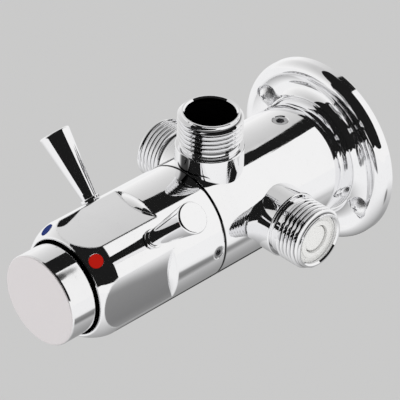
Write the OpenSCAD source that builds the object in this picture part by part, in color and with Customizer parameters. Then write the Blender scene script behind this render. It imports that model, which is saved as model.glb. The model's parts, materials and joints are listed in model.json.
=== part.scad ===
// Timed shower mixer: a wall-mounted body with a top outlet and two side inlets,
// a turning control sleeve with two levers, and a push button that closes by itself.
// Each piece is drawn on a bench axis, where Z is the distance from the wall,
// X is to the right and Y is up. on_wall() then stands it on the wall:
// the origin is the middle of the wall face, +Y goes into the wall, +Z is up.

/* [Body] */
// Outside diameter of the body and of the sleeve
body_d = 39; // [38.4:0.1:41]
// Length of the body, from its back edge to the seam with the sleeve
body_len = 53; // [51:0.5:60]
// Distance from the seam back to the axis of the outlet
outlet_back = 11.1; // [11.1:0.1:12.5]
// Distance from the outlet's axis back to the axis of the inlets
inlet_back = 13.5; // [13.4:0.1:15]
// Diameter of the bore that holds the mixing spool
core_d = 27.2; // [26.6:0.1:27.8]
// Thickness of the wall between the core and the flange's socket
partition = 4; // [2.5:0.5:5]
// Rounding of the outer edges
edge_r = 0.5; // [0.3:0.1:0.8]
// Rounding of the edges on both sides of the seam
seam_r = 0.4; // [0.1:0.1:0.5]

/* [Threaded stubs] */
// Outside diameter of the pipe thread
thread_d = 20.955; // [20.8:0.005:21.1]
// Pitch of the pipe thread
thread_pitch = 1.814; // [1.7:0.002:1.9]
// Depth of the pipe thread
thread_depth = 1.162; // [0.9:0.002:1.2]
// Number of thread ridges on a stub
thread_turns = 6; // [5:1:7]
// Height of the outlet's end above the body's axis
outlet_reach = 37.2; // [36:0.1:40]
// Distance from the body's axis to an inlet's end
inlet_reach = 36.6; // [36:0.1:40]
// Diameter of the plain collar behind a thread
collar_d = 22; // [21.4:0.1:22]
// Diameter of the wide bore in a stub
stub_bore_d = 16.4; // [16:0.1:17]
// Diameter of the narrow passage from a stub into the core
port_d = 9; // [8:0.1:9.2]
// Distance from the body's axis to the shoulder inside a stub
stub_shoulder = 18; // [17.5:0.1:19]

/* [Wall fixing] */
// Diameter of the rosette
rosette_d = 62.8; // [61:0.2:68]
// Height of the rosette's rounded rim above the wall
rosette_h = 5.4; // [5:0.1:6.4]
// Radius of the rosette's rounded rim
rim_r = 3.2; // [2.8:0.1:3.6]
// Thickness of the flange's base plate
plate_t = 2.6; // [2.2:0.1:3]
// Thickness of the rosette over the base plate
rosette_floor = 1.5; // [1.2:0.1:1.8]
// Diameter of the flange's collar where it leaves the rosette
hub_d = 39.6; // [39:0.1:40.2]
// Taper of the collar, on the diameter, from the rosette to the body
hub_taper = 1.2; // [0.4:0.1:1.6]
// Distance from the wall to the body's back edge
body_stand = 11.3; // [10.5:0.1:14]
// Diameter of the spigot that enters the body
spigot_d = 30.8; // [29.5:0.1:31.4]
// Wall of the hollow spigot
spigot_wall = 3; // [2.5:0.1:4]
// Distance from the body's back edge to the grub screw
grub_back = 9.7; // [8:0.1:10.5]
// Diameter of the body's grub screw
grub_d = 5; // [4:0.5:5]
// Diameter of the circle of wall screws
screw_circle_d = 48.6; // [48:0.1:49.6]
// Angle of the first wall screw below the horizontal
screw_angle = 28; // [0:1:45]
// Shank diameter of a wall screw
screw_d = 4; // [3.5:0.5:4.5]
// Length of a wall screw under its head
screw_len = 14; // [12:2:40]
// Diameter of a wall screw's dome head
screw_head_d = 7; // [6.5:0.1:7.4]
// Height of a wall screw's dome head
screw_head_h = 2.3; // [1.8:0.1:2.6]

/* [Control sleeve] */
// Length of the sleeve, from the seam to its front rim
sleeve_len = 50.4; // [47:0.2:56]
// Diameter of the sleeve's bore, which is also its mouth
mouth_d = 31.8; // [31.4:0.1:32.2]
// Outside diameter of the sleeve's front rim
rim_d = 33.2; // [32.9:0.1:34]
// Length of the rounded nose
nose_len = 6.6; // [5:0.1:8]
// Radius of the nose's curve along its length
nose_curve = 13.2; // [12:0.2:22]
// Distance across two opposite milled flats
across_flats = 34.2; // [33.6:0.1:35]
// Distance from the front rim to where the flats start to run out
flat_len = 27.8; // [24:0.1:30]
// Radius of the cutter that the flats run out with
runout_r = 3.2; // [2.6:0.1:4]
// Distance that the cutter's middle stands in front of a flat's end
runout_lead = 1.3; // [0.8:0.1:2]
// Distance from the front rim back to the levers' axes
lever_back = 23.8; // [21:0.1:24.4]
// Angle of each lever from the top
lever_angle = 45; // [40:1:50]
// Diameter of a colour mark
dot_d = 4.4; // [3.5:0.1:5]
// Distance from the front rim back to the middle of a colour mark
dot_back = 2.7; // [2.2:0.1:3]
// Angle of a colour mark from the top
dot_angle = 37.5; // [36:0.5:50]
// Depth of a colour mark
dot_depth = 0.4; // [0.3:0.1:0.6]
// Distance from the seam to the sleeve's grub screw
sleeve_grub_front = 2.9; // [2.7:0.1:4]
// Diameter of the sleeve's grub screw
sleeve_grub_d = 4; // [3:0.5:4]

/* [Levers] */
// Length of a lever outside the sleeve
lever_len = 24.2; // [18:0.1:30]
// Diameter of a lever at its root
lever_root_d = 4.8; // [4.5:0.1:6]
// Diameter of a lever at its tip
lever_tip_d = 10.2; // [7:0.1:11]
// Diameter of the small foot ring
lever_foot_d = 6.3; // [6:0.1:7]
// Thickness of the small foot ring
lever_foot_t = 0.9; // [0.5:0.1:1.5]
// Rounding of a lever's edges
lever_edge = 0.4; // [0.2:0.1:0.4]
// Diameter of a lever's threaded root
lever_thread_d = 4; // [3:0.5:4.4]

/* [Button] */
// Diameter of the button's head
button_d = 30.2; // [29:0.1:30.3]
// Length of the button's head
button_head = 9.7; // [8:0.1:14]
// Gap that shows between the head and the sleeve's rim
button_gap = 0.8; // [0.6:0.1:3]
// Travel of the button
button_travel = 6.5; // [4:0.1:7]
// Diameter of the button's neck
neck_d = 26.8; // [26.4:0.1:28]
// Thickness of the button's face
button_face_t = 4; // [3:0.1:5]
// Rounding of the button's front edge
button_edge = 0.8; // [0.4:0.1:1.5]

/* [Timing unit] */
// Outside diameter of the timer barrel
barrel_d = 23.8; // [23.4:0.1:24.2]
// Wall of the timer barrel
barrel_wall = 2; // [1.6:0.1:2.4]
// Length of the timer barrel in front of the spool
barrel_len = 26; // [25.6:0.1:28]
// Length of the timer barrel inside the spool
barrel_seat = 7; // [5:0.1:8]
// Diameter of the spindle
spindle_d = 5; // [4:0.1:5.4]
// Length of the piston
piston_len = 5; // [4:0.1:6]
// Diameter of the timing needle
needle_d = 1.5; // [1.2:0.1:1.8]
// Distance from the axis to the timing needle
needle_off = 4.9; // [4.7:0.05:5.1]
// Wire diameter of the return spring
spring_wire = 1.4; // [1:0.1:1.6]
// Mean diameter of the return spring
spring_d = 15.2; // [14.8:0.1:15.6]
// Number of open turns of the return spring
spring_turns = 6; // [4:1:8]

/* [Valve] */
// Diameter of the opening in the valve seat
seat_hole_d = 12.4; // [11:0.1:13]
// Diameter of the valve disc
disc_d = 17.4; // [16:0.1:19]
// Thickness of the valve disc
disc_t = 2.5; // [2:0.1:3]
// Thickness of the washer behind the valve disc
disc_washer_t = 1.2; // [1:0.1:1.4]
// Thickness of the nut behind the washer
disc_nut_t = 2; // [1.6:0.1:2.4]
// Wall of the mixing spool around its chambers
spool_wall = 2.2; // [1.8:0.1:2.6]

/* [Check valves] */
// Distance from a stub's end to the check valve's face
check_recess = 1.5; // [1:0.1:2.5]
// Diameter of the check valve's opening
check_opening_d = 9.8; // [9:0.1:10]
// Diameter of the poppet's nose
check_nose_d = 8.8; // [8:0.1:8.9]
// Lift of the poppet
check_lift = 3; // [2:0.1:3.5]
// Wall of the check valve's housing
check_wall = 1.3; // [1.2:0.1:1.6]

/* [Fits] */
// Radial running clearance of what turns or slides
run_fit = 0.05; // [0.03:0.01:0.08]
// Gap between two pieces that move past each other face to face
free_gap = 0.3; // [0.2:0.05:0.5]
// Radial clearance of what is screwed or pushed in and stays
set_fit = 0.03; // [0.01:0.01:0.06]
// Thickness of a seal ring
seal_t = 1.5; // [1.3:0.1:1.6]

/* [Hidden] */
$fn = 96;

// A cut reaches this far past a face that it opens
over = 1;
body_r = body_d / 2;
core_r = core_d / 2;
port_r = port_d / 2;
body_back = body_stand;
body_front = body_back + body_len;
outlet_z = body_front - outlet_back;
inlet_z = outlet_z - inlet_back;
crest_r = thread_d / 2;
root_r = crest_r - thread_depth;
// Half of the thread's 55 degree angle
thread_half_angle = 27.5;
thread_flank = thread_depth * tan(thread_half_angle);
thread_land = thread_pitch / 2 - thread_flank;
thread_len = thread_turns * thread_pitch;
// Plain groove between the collar and the first ridge
thread_relief = 1.2;
stub_bore_r = stub_bore_d / 2;
mouth_chamfer = 0.5;

// Recess in the body's front for the retaining nut and the spool's flange
flange_t = 1.4;
flange_lip = 2.6;
flange_r = core_r + flange_lip;
nut_t = 1.8;
// Width and depth of the nut's spanner slots
nut_slot_w = 3;
nut_slot_d = 1;
nut_sink = 0.3;
nut_r = flange_r + 0.2;
recess_floor = body_front - nut_sink - nut_t - flange_t - 2 * run_fit;
flange_back = recess_floor + run_fit;

// Spool stations, from the outlet's axis and the inlets' axis
gallery_half = port_r + 0.1;
seal_groove = seal_t + 0.1;
seal_r = seal_t / 2;
front_seal_z = flange_back - 0.4 - seal_groove / 2;
rear_seal_z = outlet_z - gallery_half - 0.8 - seal_groove / 2;
web_front = rear_seal_z + seal_groove / 2;
web_back = inlet_z + port_r + 0.6;
// Closed wall of the spool behind the inlets
spool_tail = 3;
spool_back = inlet_z - port_r - spool_tail;
spool_r = core_r - run_fit;
chamber_r = spool_r - spool_wall;
upper_chamber_r = chamber_r - 2.2;
gallery_r = upper_chamber_r + 1.8;
neck_r = spool_r - 0.05;
neck_len = 17.4;
neck_front = flange_back + flange_t + neck_len;
barrel_r = barrel_d / 2;
barrel_bore_r = barrel_r - barrel_wall;
barrel_back = neck_front - barrel_seat;
// Spindle seal's groove in the barrel's floor, and the floor in front of it
barrel_seal_z = barrel_back + 1.5;
needle_back = barrel_seal_z + seal_groove / 2 + 0.2;
barrel_floor = needle_back + 1.2;
barrel_flange_t = 3;
barrel_front = neck_front + barrel_len;
cap_plug = 4.5;
cap_rim = 1;
cap_back = barrel_front - cap_plug;

// Sleeve stations
seam_gap = free_gap;
sleeve_back = body_front + seam_gap;
sleeve_front = sleeve_back + sleeve_len;
mouth_r = mouth_d / 2;
flat_x = across_flats / 2;
grip_front = neck_front - 2;
lever_z = sleeve_front - lever_back;
sleeve_grub_z = sleeve_back + sleeve_grub_front;
nose_start = sleeve_front - nose_len;

// Button, spindle and valve stations
button_r = button_d / 2;
head_back = sleeve_front + button_gap;
button_front = head_back + button_head;
skirt_r = barrel_r + run_fit;
skirt_back = barrel_front - 1.5;
button_inside = button_front - button_face_t;
boss_r = spindle_d / 2 + 2;
boss_len = 8;
boss_back = button_inside - boss_len;
spindle_r = spindle_d / 2;
spindle_front = button_inside + 0.4;
tail_r = spindle_r - 0.7;
disc_nut_wall = 2.4;
disc_front = web_back - free_gap;
disc_back = disc_front - disc_t;
washer_back = disc_back - disc_washer_t;
nut_back = washer_back - disc_nut_t;
spindle_back = nut_back - 0.4;
core_floor = spindle_back - button_travel - 0.4;
piston_front = cap_back - 0.5;
piston_back = piston_front - piston_len;
needle_r = needle_d / 2;

// Wall flange stations
socket_floor = core_floor - partition;
spigot_r = spigot_d / 2;
spigot_front = socket_floor - free_gap;
grub_z = body_back + grub_back;
grub_groove = 1;
rosette_r = rosette_d / 2;
rim_mid = rosette_r - rim_r;
hub_r = hub_d / 2;
floor_z = plate_t + rosette_floor;
screw_ring_r = screw_circle_d / 2;
screw_angles = [-screw_angle, 180 - screw_angle];
// The shank is slimmer from its head to just behind the wall's face
screw_relief = 0.25;
screw_neck = floor_z + 0.5;

// Check valve stations, measured outwards from the body's axis
check_front = inlet_reach - check_recess;
check_r = stub_bore_r - 2 * set_fit;
check_inner_r = check_r - check_wall;
check_ring_t = 2;
check_floor_t = 3;
poppet_head_r = check_inner_r - 0.8;
poppet_head_t = 1.8;
poppet_stem_r = 1.4;
check_seal_u = stub_shoulder + check_floor_t / 2;
// Flow holes round the poppet's stem
check_hole_ring_r = 3.3;
check_hole_r = 1.3;
check_spring_wire = 0.8;
check_spring_r = 3.2;
check_spring_turns = 4;

// Stands a piece from the bench on the wall
module on_wall() rotate([90, 0, 0]) children();

// Turns a profile, given as distance from the axis and along it, about the bench axis
module turned() rotate_extrude() children();

// Puts a piece drawn along Z at a place on the bench axis, pointing outwards at an angle
module pointing_out(z, angle, r = 0)
    translate([0, 0, z]) rotate([0, 0, angle]) translate([r, 0, 0]) rotate([0, 90, 0]) children();

// Profile of a round bar between two stations, with rounded outer edges
module bar_profile(r, z0, z1, back = 0, front = 0) {
    ring_profile(0, r, z0 + back, z1 - front);
    if (back > 0) edge_profile(r, z0, back, 1);
    if (front > 0) edge_profile(r, z1, front, -1);
}

// Profile of a bar's rounded edge at z; way is 1 where the bar lies in front of z
module edge_profile(r, z, round_r, way) {
    translate([r - round_r, z + way * round_r]) circle(round_r);
    ring_profile(0, r - round_r, min(z, z + way * 2 * round_r), max(z, z + way * 2 * round_r));
}

// Profile of a ring between two radii and two stations
module ring_profile(r0, r1, z0, z1) translate([r0, z0]) square([r1 - r0, z1 - z0]);

// A round ring seal about the bench axis
module seal_ring(r, z) translate([0, 0, z]) turned() translate([r, 0]) circle(seal_r);

// One ridge of the pipe thread, standing on the core, as a profile
function ridge(u) = [
    [root_r, u - thread_flank - thread_land / 2],
    [crest_r, u - thread_land / 2],
    [crest_r, u + thread_land / 2],
    [root_r, u + thread_flank + thread_land / 2]
];

// Outside of a threaded stub from the body's axis to its end, along Z
module stub_outside(reach) {
    thread_start = reach - thread_len;
    collar_end = thread_start - thread_relief;
    turned() union() {
        bar_profile(collar_d / 2, 0, collar_end, 0, edge_r);
        ring_profile(0, root_r, 0, reach);
        for (i = [0 : thread_turns - 1])
            polygon(ridge(thread_start + (i + 0.5) * thread_pitch));
    }
}

// Inside of a threaded stub: passage, shoulder, wide bore and chamfered mouth
module stub_inside(reach) {
    translate([0, 0, core_r / 2]) cylinder(r = port_r, h = stub_shoulder);
    translate([0, 0, stub_shoulder]) cylinder(r = stub_bore_r, h = reach - stub_shoulder + over);
    translate([0, 0, reach - mouth_chamfer])
        cylinder(r1 = stub_bore_r, r2 = stub_bore_r + mouth_chamfer + over, h = mouth_chamfer + over);
}

// A hexagon socket cut into a grub screw's end, from z upwards
module hex_socket(d, z, depth) translate([0, 0, z - depth]) cylinder(d = d, h = depth + over, $fn = 6);

module valve_body() color([0.80, 0.81, 0.82]) on_wall() difference() {
    union() {
        turned() bar_profile(body_r, body_back, body_front, edge_r, seam_r);
        pointing_out(outlet_z, 90) stub_outside(outlet_reach);
        for (side = [0, 180]) pointing_out(inlet_z, side) stub_outside(inlet_reach);
    }
    turned() union() {
        ring_profile(0, core_r, core_floor, body_front);
        ring_profile(0, nut_r, recess_floor, body_front + over);
        ring_profile(0, spigot_r + set_fit, body_back - over, socket_floor);
    }
    pointing_out(outlet_z, 90) stub_inside(outlet_reach);
    for (side = [0, 180]) pointing_out(inlet_z, side) stub_inside(inlet_reach);
    pointing_out(grub_z, 90) cylinder(r = grub_d / 2 + set_fit, h = body_r + over);
}

module wall_flange() color([0.76, 0.77, 0.78]) on_wall() difference() {
    turned() union() {
        bar_profile(rim_mid, 0, plate_t, 0, edge_r);
        ring_profile(0, hub_r, 0, floor_z);
        polygon([[0, floor_z], [hub_r, floor_z], [hub_r, rosette_h + 1],
                 [hub_r - hub_taper / 2, body_back], [0, body_back]]);
        bar_profile(spigot_r, body_back - edge_r, spigot_front, 0, edge_r);
    }
    turned() union() {
        ring_profile(0, spigot_r - spigot_wall, floor_z, spigot_front + over);
        ring_profile(spigot_r - grub_groove, spigot_r + over,
                     grub_z - grub_d / 2 - set_fit, grub_z + grub_d / 2 + set_fit);
    }
    for (a = screw_angles) rotate([0, 0, a]) translate([screw_ring_r, 0, -over])
        cylinder(r = screw_d / 2 + 2 * set_fit, h = plate_t + 2 * over);
}

// The rosette's rim is an arc, and its dish another, which meets it in a crease
rim_mid_z = rosette_h - rim_r;
dish_r = rim_r + 1.4;

module wall_rosette() color([0.82, 0.83, 0.84]) on_wall() difference() {
    turned() difference() {
        union() {
            ring_profile(hub_r + set_fit, rim_mid - rim_r / 2, plate_t, rosette_h + 1);
            ring_profile(hub_r + set_fit, rosette_r, 0, rim_mid_z);
            intersection() {
                translate([rim_mid, rim_mid_z]) circle(rim_r);
                ring_profile(rim_mid - 0.8 * rim_r, rosette_r + over, rim_mid_z, rosette_h + over);
            }
        }
        translate([screw_ring_r, floor_z + dish_r]) circle(dish_r);
        ring_profile(0, rim_mid + edge_r, -over, plate_t);
    }
    for (a = screw_angles) rotate([0, 0, a]) translate([screw_ring_r, 0, 0]) {
        cylinder(r = screw_d / 2 + 2 * set_fit, h = rosette_h);
        translate([0, 0, floor_z]) cylinder(d = screw_head_d + 0.6, h = rosette_h);
    }
}

// A dome-head wall screw, head up, with its seat at z = 0
module wall_screw() {
    point = screw_d;
    slot = 0.9;
    head_r = screw_head_d / 2;
    dome_r = (head_r * head_r + screw_head_h * screw_head_h) / (2 * screw_head_h);
    difference() {
        turned() union() {
            intersection() {
                translate([0, screw_head_h - dome_r]) circle(dome_r);
                square([head_r, screw_head_h]);
            }
            ring_profile(0, screw_d / 2 - screw_relief, -screw_neck - screw_d / 2, 0);
            ring_profile(0, screw_d / 2, point - screw_len, -screw_neck);
            polygon([[0, -screw_len], [screw_d / 2, point - screw_len], [0, point - screw_len]]);
        }
        for (turn = [0, 90]) rotate([0, 0, turn])
            translate([-head_r / 2, -slot / 2, screw_head_h / 2]) cube([head_r, slot, screw_head_h]);
    }
}

module wall_screws() color([0.84, 0.85, 0.86]) on_wall()
    for (a = screw_angles) rotate([0, 0, a]) translate([screw_ring_r, 0, floor_z]) wall_screw();

// A hexagon-socket grub screw from its point to its head, along Z
module grub_screw(d, len) difference() {
    union() {
        cylinder(d1 = d - 1, d2 = d, h = 0.5);
        translate([0, 0, 0.5]) cylinder(d = d, h = len - 0.5);
    }
    hex_socket(d * 0.6, len, min(2, len / 2));
}

module body_grub_screw() color([0.55, 0.56, 0.58]) on_wall()
    pointing_out(grub_z, 90, spigot_r - grub_groove)
        grub_screw(grub_d, body_r - nut_sink - spigot_r + grub_groove);

module retaining_nut() color([0.80, 0.66, 0.38]) on_wall() difference() {
    turned() ring_profile(neck_r + free_gap, nut_r - set_fit,
                          body_front - nut_sink - nut_t, body_front - nut_sink);
    // Two spanner slots
    for (side = [0, 180]) pointing_out(body_front - nut_sink, side, (neck_r + nut_r) / 2)
        translate([-nut_slot_d, -nut_slot_w / 2, -over - nut_r])
            cube([2 * nut_slot_d, nut_slot_w, 2 * nut_r]);
}

// The rounded nose is an arc from the rim to the full diameter
rim_r_out = rim_d / 2;
chord = [body_r - rim_r_out, -nose_len];
chord_len = norm(chord);
nose_mid = [rim_r_out + chord[0] / 2, sleeve_front + chord[1] / 2];
nose_drop = sqrt(nose_curve * nose_curve - chord_len * chord_len / 4);
nose_normal = [nose_len, body_r - rim_r_out] / chord_len;
nose_centre = nose_mid - nose_normal * nose_drop;

module nose_profile() intersection() {
    translate(nose_centre) circle(nose_curve);
    ring_profile(0, body_r, nose_start, sleeve_front);
}

// Outside of the sleeve before its flats are milled
module sleeve_blank() turned() union() {
    bar_profile(body_r, sleeve_back, nose_start + over, seam_r, 0);
    nose_profile();
}

// What the mill takes off: four flats that run out in a curve towards the seam
cutter_mid = [flat_x + sqrt(runout_r * runout_r - runout_lead * runout_lead),
              sleeve_front - flat_len + runout_lead];
module milled_away() intersection() {
    for (i = [0 : 3]) rotate([0, 0, 90 * i])
        translate([flat_x, -body_r, sleeve_back]) cube([body_r, body_d, sleeve_len + over]);
    turned() union() {
        translate(cutter_mid) circle(runout_r);
        ring_profile(flat_x - over, body_d, cutter_mid[1], sleeve_front + over);
    }
}

module control_sleeve() color([0.82, 0.83, 0.85]) on_wall() difference() {
    sleeve_blank();
    milled_away();
    turned() union() {
        ring_profile(0, mouth_r, grip_front, sleeve_front + over);
        ring_profile(0, neck_r + set_fit, sleeve_back - over, grip_front);
    }
    for (side = [-1, 1]) pointing_out(lever_z, 90 + side * lever_angle)
        cylinder(r = lever_thread_d / 2 + set_fit, h = body_r + over);
    pointing_out(sleeve_grub_z, 0) cylinder(r = sleeve_grub_d / 2 + set_fit, h = body_r + over);
    for (side = [-1, 1]) dot_place(90 + side * dot_angle, dot_d / 2 + set_fit, dot_depth + over);
}

// A colour mark's pocket or disc, square to the nose's surface
dot_z = sleeve_front - dot_back;
dot_surface_r = nose_centre[0] + sqrt(pow(nose_curve, 2) - pow(dot_z - nose_centre[1], 2));
dot_tilt = asin((dot_z - nose_centre[1]) / nose_curve);
module dot_place(angle, r, h)
    rotate([0, 0, angle]) translate([dot_surface_r, 0, dot_z]) rotate([0, 90 - dot_tilt, 0])
        translate([0, 0, -dot_depth]) cylinder(r = r, h = h);

module colour_dot(angle) dot_place(angle, dot_d / 2, dot_depth - 0.1);

module red_dot() color([0.72, 0.08, 0.08]) on_wall() colour_dot(90 - dot_angle);

module blue_dot() color([0.10, 0.16, 0.45]) on_wall() colour_dot(90 + dot_angle);

// A conical lever that is screwed into the sleeve
module lever(angle) on_wall() pointing_out(lever_z, angle) {
    foot = body_r + free_gap / 2;
    tip = body_r + lever_len;
    turned() union() {
        ring_profile(0, lever_thread_d / 2, mouth_r + free_gap, foot + over);
        bar_profile(lever_foot_d / 2, foot, foot + lever_foot_t, 0, lever_edge);
        polygon([[0, foot], [lever_root_d / 2, foot], [lever_tip_d / 2, tip - 2 * lever_edge],
                 [0, tip - 2 * lever_edge]]);
        bar_profile(lever_tip_d / 2, tip - 2 * lever_edge, tip, 0, lever_edge);
    }
}

module lever_left() color([0.82, 0.83, 0.85]) lever(90 + lever_angle);
module lever_right() color([0.82, 0.83, 0.85]) lever(90 - lever_angle);

module sleeve_grub_screw() color([0.35, 0.36, 0.38]) on_wall()
    pointing_out(sleeve_grub_z, 0, neck_r - spool_dimple)
        grub_screw(sleeve_grub_d, body_r - nut_sink - neck_r + spool_dimple);

// Depth of the dimple in the spool's neck that the sleeve's grub screw bites into
spool_dimple = 0.8;

module mixing_spool() color([0.84, 0.72, 0.44]) on_wall() difference() {
    turned() union() {
        ring_profile(0, spool_r, spool_back, flange_back + flange_t);
        ring_profile(0, flange_r, flange_back, flange_back + flange_t);
        ring_profile(0, neck_r, flange_back, neck_front);
    }
    turned() union() {
        // Chamber behind the seat, opening in the seat, chamber in front, barrel's socket
        ring_profile(0, chamber_r, spool_back - over, web_back);
        ring_profile(0, seat_hole_d / 2, web_back - over, web_front + over);
        ring_profile(0, upper_chamber_r, web_front, barrel_back);
        ring_profile(0, barrel_r + set_fit, barrel_back, neck_front + over);
        // Gallery that the outlet draws from at every angle, and the seals' grooves
        ring_profile(gallery_r, spool_r + over, outlet_z - gallery_half, outlet_z + gallery_half);
        for (z = [front_seal_z, rear_seal_z])
            ring_profile(core_r - seal_t - run_fit, spool_r + over,
                         z - seal_groove / 2, z + seal_groove / 2);
    }
    for (i = [0 : 5]) pointing_out(outlet_z, 60 * i) cylinder(r = port_r / 2, h = body_r);
    // Half-round slot below, which uncovers one inlet and covers the other as the sleeve turns
    rotate([0, 0, -90]) translate([0, -body_r, inlet_z - port_r]) cube([body_r, body_d, port_d]);
    pointing_out(sleeve_grub_z, 0, neck_r - spool_dimple)
        cylinder(r = sleeve_grub_d / 2 + set_fit, h = over + spool_dimple);
}

module spool_seals() color([0.12, 0.12, 0.12]) on_wall()
    for (z = [front_seal_z, rear_seal_z]) seal_ring(core_r - seal_r - run_fit / 2, z);

module timer_barrel() color([0.90, 0.90, 0.88]) on_wall() difference() {
    turned() union() {
        ring_profile(0, barrel_r, barrel_back, barrel_front);
        ring_profile(0, neck_r, neck_front, neck_front + barrel_flange_t);
    }
    turned() union() {
        ring_profile(0, spindle_r + run_fit, barrel_back - over, barrel_floor + over);
        ring_profile(0, barrel_bore_r, barrel_floor, barrel_front + over);
        ring_profile(0, spindle_r + seal_t + run_fit,
                     barrel_seal_z - seal_groove / 2, barrel_seal_z + seal_groove / 2);
    }
    translate([needle_off, 0, needle_back])
        cylinder(r = needle_r + set_fit, h = barrel_floor - needle_back + over);
}

module barrel_cap() color([0.84, 0.72, 0.44]) on_wall() difference() {
    turned() difference() {
        union() {
            ring_profile(0, barrel_bore_r - set_fit, cap_back, barrel_front);
            ring_profile(0, barrel_r, barrel_front, barrel_front + cap_rim);
        }
        ring_profile(0, spindle_r + run_fit, cap_back - over, barrel_front + cap_rim + over);
    }
    // Vents, so that the space in front of the piston breathes
    for (i = [0 : 2]) rotate([0, 0, 60 + 120 * i])
        translate([(spindle_r + barrel_bore_r) / 2, 0, cap_back - over])
            cylinder(d = needle_d + 1, h = cap_plug + cap_rim + 2 * over);
}

module spindle_seal() color([0.12, 0.12, 0.12]) on_wall()
    seal_ring(spindle_r + seal_r + run_fit / 2, barrel_seal_z);

module timing_needle() color([0.78, 0.79, 0.80]) on_wall()
    translate([needle_off, 0, needle_back + set_fit])
        cylinder(r = needle_r, h = cap_back - free_gap - needle_back - set_fit);

module push_button() color([0.80, 0.79, 0.80]) on_wall() difference() {
    turned() union() {
        bar_profile(button_r, head_back, button_front, edge_r, button_edge);
        ring_profile(0, neck_d / 2, skirt_back, head_back + edge_r);
    }
    turned() difference() {
        ring_profile(0, skirt_r, skirt_back - over, button_inside);
        ring_profile(0, boss_r, boss_back, button_inside);
    }
    turned() ring_profile(0, spindle_r + set_fit, boss_back - over, spindle_front + set_fit);
}

module spindle() color([0.78, 0.79, 0.80]) on_wall() turned() union() {
    ring_profile(0, spindle_r, disc_front, spindle_front);
    ring_profile(0, tail_r, spindle_back, disc_front + over);
}

module timer_piston() color([0.92, 0.92, 0.90]) on_wall() difference() {
    turned() difference() {
        ring_profile(spindle_r + set_fit, barrel_bore_r - 2 * run_fit, piston_back, piston_front);
        ring_profile(barrel_bore_r - seal_groove, barrel_bore_r, cup_back, cup_front);
    }
    translate([needle_off, 0, piston_back - over])
        cylinder(r = needle_r + 2 * run_fit, h = piston_len + 2 * over);
}

// The cup seal sits in the piston's groove, with its lip towards the barrel's floor
cup_back = piston_back + piston_len * 0.2;
cup_front = piston_front - piston_len * 0.24;
module piston_cup_seal() color([0.12, 0.12, 0.12]) on_wall() turned() {
    inner = barrel_bore_r - seal_groove + set_fit;
    outer = barrel_bore_r - run_fit;
    foot = cup_back + set_fit;
    web = cup_front - seal_t * 2 / 3;
    wall = seal_t / 3;
    polygon([[inner, foot], [inner + wall, foot], [inner + wall * 1.2, web],
             [outer - wall * 0.8, web], [outer - wall * 0.6, foot], [outer, foot],
             [outer, web + wall * 0.4], [outer - wall * 0.8, cup_front - set_fit],
             [inner, cup_front - set_fit]]);
}

// A round-wire spring along Z, with closed ends, as a swept tube
// wire_side points make the tube's section and spring_steps rings make one turn
wire_side = 6;
spring_steps = 14;
function spring_rise(t, turns, wire, span) =
    let (open = turns - 2, lead = (span - 3 * wire) / open)
    t < 1 ? t * wire : t < turns - 1 ? wire + (t - 1) * lead : wire + open * lead + (t - turns + 1) * wire;

module spring(r, wire, span, turns) {
    rings = turns * spring_steps;
    points = [for (i = [0 : rings]) let (
            t = i / spring_steps, a = 360 * t, z = wire / 2 + spring_rise(t, turns, wire, span)
        ) for (k = [0 : wire_side - 1]) let (
            b = 360 * k / wire_side, q = r + wire / 2 * cos(b)
        ) [q * cos(a), q * sin(a), z + wire / 2 * sin(b)]];
    sides = [for (i = [0 : rings - 1]) for (k = [0 : wire_side - 1]) let (
            n = (k + 1) % wire_side, here = i * wire_side, next = here + wire_side
        ) [here + k, here + n, next + n, next + k]];
    first = [for (k = [0 : wire_side - 1]) wire_side - 1 - k];
    last = [for (k = [0 : wire_side - 1]) rings * wire_side + k];
    polyhedron(points, concat([first], sides, [last]), convexity = turns);
}

module return_spring() color([0.70, 0.71, 0.72]) on_wall()
    translate([0, 0, barrel_floor + set_fit])
        spring(spring_d / 2, spring_wire, piston_back - barrel_floor - 3 * set_fit, spring_turns + 2);

module valve_disc() color([0.15, 0.15, 0.15]) on_wall()
    turned() bar_profile_with_hole(disc_d / 2, tail_r + set_fit, disc_back, disc_front);

module disc_washer() color([0.80, 0.81, 0.82]) on_wall()
    turned() bar_profile_with_hole(disc_d / 2 - 1, tail_r + set_fit, washer_back, disc_back);

// Profile of a washer with slightly rounded outer edges
module bar_profile_with_hole(r, hole_r, z0, z1) difference() {
    bar_profile(r, z0, z1, 0.2, 0.2);
    ring_profile(0, hole_r, z0 - over, z1 + over);
}

module disc_nut() color([0.84, 0.72, 0.44]) on_wall() difference() {
    translate([0, 0, nut_back]) cylinder(r = tail_r + disc_nut_wall, h = disc_nut_t, $fn = 6);
    translate([0, 0, nut_back - over]) cylinder(r = tail_r + set_fit, h = disc_nut_t + 2 * over);
}

// Check valves, drawn along Z outwards from the body's axis
module check_housing() difference() {
    turned() difference() {
        ring_profile(0, check_r, stub_shoulder + set_fit, check_front);
        ring_profile(0, check_inner_r, stub_shoulder + check_floor_t, check_front - check_ring_t);
        ring_profile(0, check_opening_d / 2, check_front - check_ring_t - over, check_front + over);
        ring_profile((check_opening_d / 2 + check_r) / 2, check_r - 0.5,
                     check_front - 0.4, check_front + over);
        ring_profile(stub_bore_r - seal_t - run_fit, check_r + over,
                     check_seal_u - seal_groove / 2, check_seal_u + seal_groove / 2);
        ring_profile(0, poppet_stem_r + run_fit, stub_shoulder - over, check_front);
    }
    for (i = [0 : 3]) rotate([0, 0, 90 * i + 45]) translate([check_hole_ring_r, 0, stub_shoulder - over])
        cylinder(r = check_hole_r, h = check_floor_t + 2 * over);
}

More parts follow.
